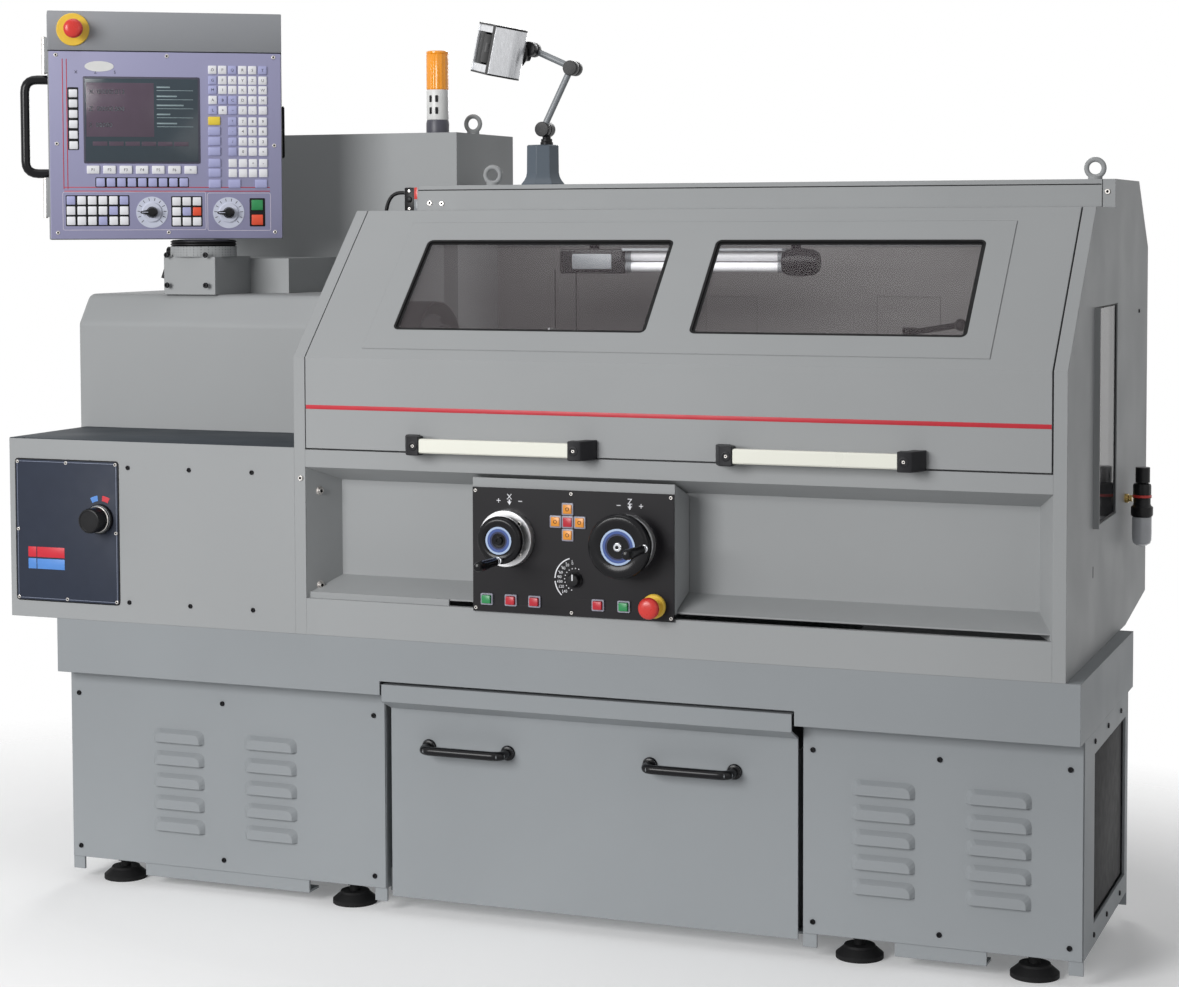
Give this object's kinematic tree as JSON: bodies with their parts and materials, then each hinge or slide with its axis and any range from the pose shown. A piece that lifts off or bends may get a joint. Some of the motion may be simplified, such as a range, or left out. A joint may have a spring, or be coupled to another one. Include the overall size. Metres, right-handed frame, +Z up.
{
  "type": "combination lathe",
  "caption": "Combination lathe with a lift-up guard door, carriage-mounted handwheel controls, swivelling control panel and machine stand with drawer.",
  "frame": {"origin": "centre of the machine's footprint on the floor", "axes": "+X along the spindle from the headstock to the tailstock, +Y from the operator to the back, +Z up"},
  "size_m": [2.2847, 1.189, 1.79],
  "materials": {
    "body_paint": "semi-gloss grey enamel",
    "stand_paint": "semi-gloss grey enamel",
    "black_coating": "satin black",
    "cast_iron": "machined and oiled",
    "steel": "turned and ground",
    "chrome": "polished",
    "tinted_glass": "tinted",
    "handle_bar": "anodised, pale",
    "control_plate": "satin black plate",
    "panel_face": "purple-grey membrane",
    "black_plastic": "moulded",
    "red_plastic": "moulded",
    "green_plastic": "moulded",
    "dial_plastic": "moulded",
    "amber_lens": "ribbed lens",
    "lamp_paint": "blue-grey"
  },
  "bodies": {
    "base": {"left_cabinet": "stand_paint", "right_cabinet": "stand_paint", "louvred_covers": "stand_paint", "chip_pan": "stand_paint", "leveling_feet": "black_coating", "bed": "cast_iron", "headstock": "cast_iron", "gearbox_housing": "body_paint", "headstock_cover": "body_paint", "guard_left_wall": "body_paint", "guard_right_wall": "body_paint", "side_window": "tinted_glass", "front_panel": "body_paint", "top_beam": "body_paint", "back_wall": "body_paint", "electrical_cabinet": "body_paint", "lifting_eyes": "steel", "signal_tower": "amber_lens", "work_light": "black_coating", "panel_arm": "body_paint", "lamp_base": "lamp_paint", "air_unit": "black_plastic"},
    "door": {"guard_door": "body_paint", "door_windows": "tinted_glass", "door_handles": "handle_bar"},
    "carriage": {"saddle": "cast_iron", "control_box": "control_plate"},
    "cross_slide": {"cross_slide": "cast_iron", "tool_post": "steel"},
    "tailstock": {"tailstock": "cast_iron"},
    "quill": {"quill": "steel"},
    "tailstock_wheel": {"tailstock_wheel": "steel"},
    "tailstock_lever": {"tailstock_lever": "black_coating"},
    "spindle": {"chuck": "steel"},
    "jaw_1": {"jaw_1": "steel"},
    "jaw_2": {"jaw_2": "steel"},
    "jaw_3": {"jaw_3": "steel"},
    "chuck_hood": {"chuck_hood": "body_paint"},
    "x_handwheel": {"x_handwheel": "black_coating"},
    "z_handwheel": {"z_handwheel": "black_coating"},
    "jog_knob": {"jog_knob": "black_plastic"},
    "carriage_stop": {"carriage_stop": "red_plastic"},
    "control_panel": {"panel_housing": "panel_face"},
    "panel_lever": {"panel_lever": "black_coating"},
    "panel_stop": {"panel_stop": "red_plastic"},
    "feed_dial": {"feed_dial": "black_plastic"},
    "speed_dial": {"speed_dial": "black_plastic"},
    "lamp_turret": {"lamp_turret": "black_coating"},
    "lamp_lower_arm": {"lamp_lower_arm": "black_coating"},
    "lamp_upper_arm": {"lamp_upper_arm": "black_coating"},
    "lamp_head": {"lamp_head": "chrome"},
    "drawer": {"drawer": "stand_paint"},
    "cabinet_door": {"cabinet_door": "body_paint"},
    "air_knob": {"air_knob": "black_plastic"},
    "selector_knob": {"selector_knob": "black_plastic"},
    "start_button": {"start_button": "green_plastic"},
    "stop_button": {"stop_button": "red_plastic"},
    "feed_hold_button": {"feed_hold_button": "red_plastic"},
    "reset_button": {"reset_button": "red_plastic"},
    "cycle_button": {"cycle_button": "green_plastic"}
  },
  "joints": [
    {"name": "door_hinge", "type": "hinge", "parent": "base", "child": "door", "pos_m": [0.3384, 0.0515, 1.361], "axis": [-1, 0, 0], "range_deg": [0, 62]},
    {"name": "carriage_slide", "type": "slide", "parent": "base", "child": "carriage", "axis": [1, 0, 0], "range_m": [-0.05, 0.4]},
    {"name": "cross_slide_travel", "type": "slide", "parent": "carriage", "child": "cross_slide", "axis": [0, 1, 0], "range_m": [-0.06, 0.1]},
    {"name": "tailstock_slide", "type": "slide", "parent": "base", "child": "tailstock", "axis": [1, 0, 0], "range_m": [-0.25, 0.1]},
    {"name": "quill_slide", "type": "slide", "parent": "tailstock", "child": "quill", "axis": [-1, 0, 0], "range_m": [0, 0.1]},
    {"name": "tailstock_wheel_turn", "type": "hinge", "parent": "tailstock", "child": "tailstock_wheel", "pos_m": [0.8634, 0.0055, 1.055], "axis": [1, 0, 0], "range_deg": [0, 7200]},
    {"name": "tailstock_lever_turn", "type": "hinge", "parent": "tailstock", "child": "tailstock_lever", "pos_m": [0.7014, 0.0055, 1.12], "axis": [0, 0, 1], "range_deg": [-40, 50]},
    {"name": "spindle_turn", "type": "hinge", "parent": "base", "child": "spindle", "pos_m": [-0.3536, 0.0055, 1.055], "axis": [1, 0, 0], "continuous": true},
    {"name": "jaw_1_slide", "type": "slide", "parent": "spindle", "child": "jaw_1", "axis": [0, -1, 0], "range_m": [-0.01, 0.008]},
    {"name": "jaw_2_slide", "type": "slide", "parent": "spindle", "child": "jaw_2", "axis": [0, 0.5, -0.866], "range_m": [-0.01, 0.008]},
    {"name": "jaw_3_slide", "type": "slide", "parent": "spindle", "child": "jaw_3", "axis": [0, 0.5, 0.866], "range_m": [-0.01, 0.008]},
    {"name": "chuck_hood_hinge", "type": "hinge", "parent": "base", "child": "chuck_hood", "pos_m": [-0.3536, 0.1319, 1.09809], "axis": [-1, 0, 0], "range_deg": [0, 58]},
    {"name": "x_handwheel_turn", "type": "hinge", "parent": "carriage", "child": "x_handwheel", "pos_m": [0.0424, -0.4545, 0.754], "axis": [0, 1, 0], "continuous": true},
    {"name": "z_handwheel_turn", "type": "hinge", "parent": "carriage", "child": "z_handwheel", "pos_m": [0.2829, -0.4545, 0.754], "axis": [0, 1, 0], "continuous": true},
    {"name": "jog_knob_turn", "type": "hinge", "parent": "carriage", "child": "jog_knob", "pos_m": [0.1784, -0.4445, 0.682], "axis": [0, 1, 0], "range_deg": [-135, 135]},
    {"name": "carriage_stop_press", "type": "slide", "parent": "carriage", "child": "carriage_stop", "axis": [0, 1, 0], "range_m": [0, 0.005]},
    {"name": "start_button_press", "type": "slide", "parent": "carriage", "child": "start_button", "axis": [0, 1, 0], "range_m": [0, 0.003], "stiffness_N_per_m": 400},
    {"name": "stop_button_press", "type": "slide", "parent": "carriage", "child": "stop_button", "axis": [0, 1, 0], "range_m": [0, 0.003], "stiffness_N_per_m": 400},
    {"name": "feed_hold_button_press", "type": "slide", "parent": "carriage", "child": "feed_hold_button", "axis": [0, 1, 0], "range_m": [0, 0.003], "stiffness_N_per_m": 400},
    {"name": "reset_button_press", "type": "slide", "parent": "carriage", "child": "reset_button", "axis": [0, 1, 0], "range_m": [0, 0.003], "stiffness_N_per_m": 400},
    {"name": "cycle_button_press", "type": "slide", "parent": "carriage", "child": "cycle_button", "axis": [0, 1, 0], "range_m": [0, 0.003], "stiffness_N_per_m": 400},
    {"name": "panel_swivel", "type": "hinge", "parent": "base", "child": "control_panel", "pos_m": [-0.8266, -0.0555, 1.305], "axis": [0, 0, 1], "range_deg": [-60, 60]},
    {"name": "panel_lever_turn", "type": "hinge", "parent": "base", "child": "panel_lever", "pos_m": [-0.8966, -0.0555, 1.286], "axis": [1, 0, 0], "range_deg": [-60, 60]},
    {"name": "panel_stop_press", "type": "slide", "parent": "control_panel", "child": "panel_stop", "axis": [-0.565, 0.8251, 0], "range_m": [0, 0.005]},
    {"name": "feed_dial_turn", "type": "hinge", "parent": "control_panel", "child": "feed_dial", "pos_m": [-0.89383, -0.15314, 1.369], "axis": [0.565, -0.8251, 0], "range_deg": [-150, 150]},
    {"name": "speed_dial_turn", "type": "hinge", "parent": "control_panel", "child": "speed_dial", "pos_m": [-0.76099, -0.06218, 1.368], "axis": [0.565, -0.8251, 0], "range_deg": [-150, 150]},
    {"name": "lamp_swivel", "type": "hinge", "parent": "base", "child": "lamp_turret", "pos_m": [-0.1266, 0.1755, 1.522], "axis": [0, 0, 1], "range_deg": [-150, 150]},
    {"name": "lamp_elbow", "type": "hinge", "parent": "lamp_turret", "child": "lamp_lower_arm", "pos_m": [-0.1266, 0.1655, 1.542], "axis": [0, 1, 0], "range_deg": [-20, 45]},
    {"name": "lamp_knee", "type": "hinge", "parent": "lamp_lower_arm", "child": "lamp_upper_arm", "pos_m": [-0.0626, 0.1655, 1.669], "axis": [0, 1, 0], "range_deg": [-25, 40]},
    {"name": "lamp_neck", "type": "hinge", "parent": "lamp_upper_arm", "child": "lamp_head", "pos_m": [-0.1566, 0.1655, 1.711], "axis": [0, 1, 0], "range_deg": [-45, 45]},
    {"name": "drawer_slide", "type": "slide", "parent": "base", "child": "drawer", "axis": [0, -1, 0], "range_m": [0, 0.38]},
    {"name": "cabinet_door_hinge", "type": "hinge", "parent": "base", "child": "cabinet_door", "pos_m": [-0.9926, 0.5768, 1.052], "axis": [0, 0, 1], "range_deg": [0, 110]},
    {"name": "air_knob_turn", "type": "hinge", "parent": "base", "child": "air_knob", "pos_m": [1.1204, 0.2055, 0.848], "axis": [0, 0, 1], "continuous": true},
    {"name": "selector_turn", "type": "hinge", "parent": "base", "child": "selector_knob", "pos_m": [-0.8486, -0.4545, 0.753], "axis": [0, 1, 0], "range_deg": [-45, 45]}
  ],
  "couplings": [
    {"joint": "quill_slide", "follows": "tailstock_wheel_turn", "m_per_rad": 0.00079577},
    {"joint": "jaw_2_slide", "follows": "jaw_1_slide", "ratio": 1},
    {"joint": "jaw_3_slide", "follows": "jaw_1_slide", "ratio": 1}
  ]
}
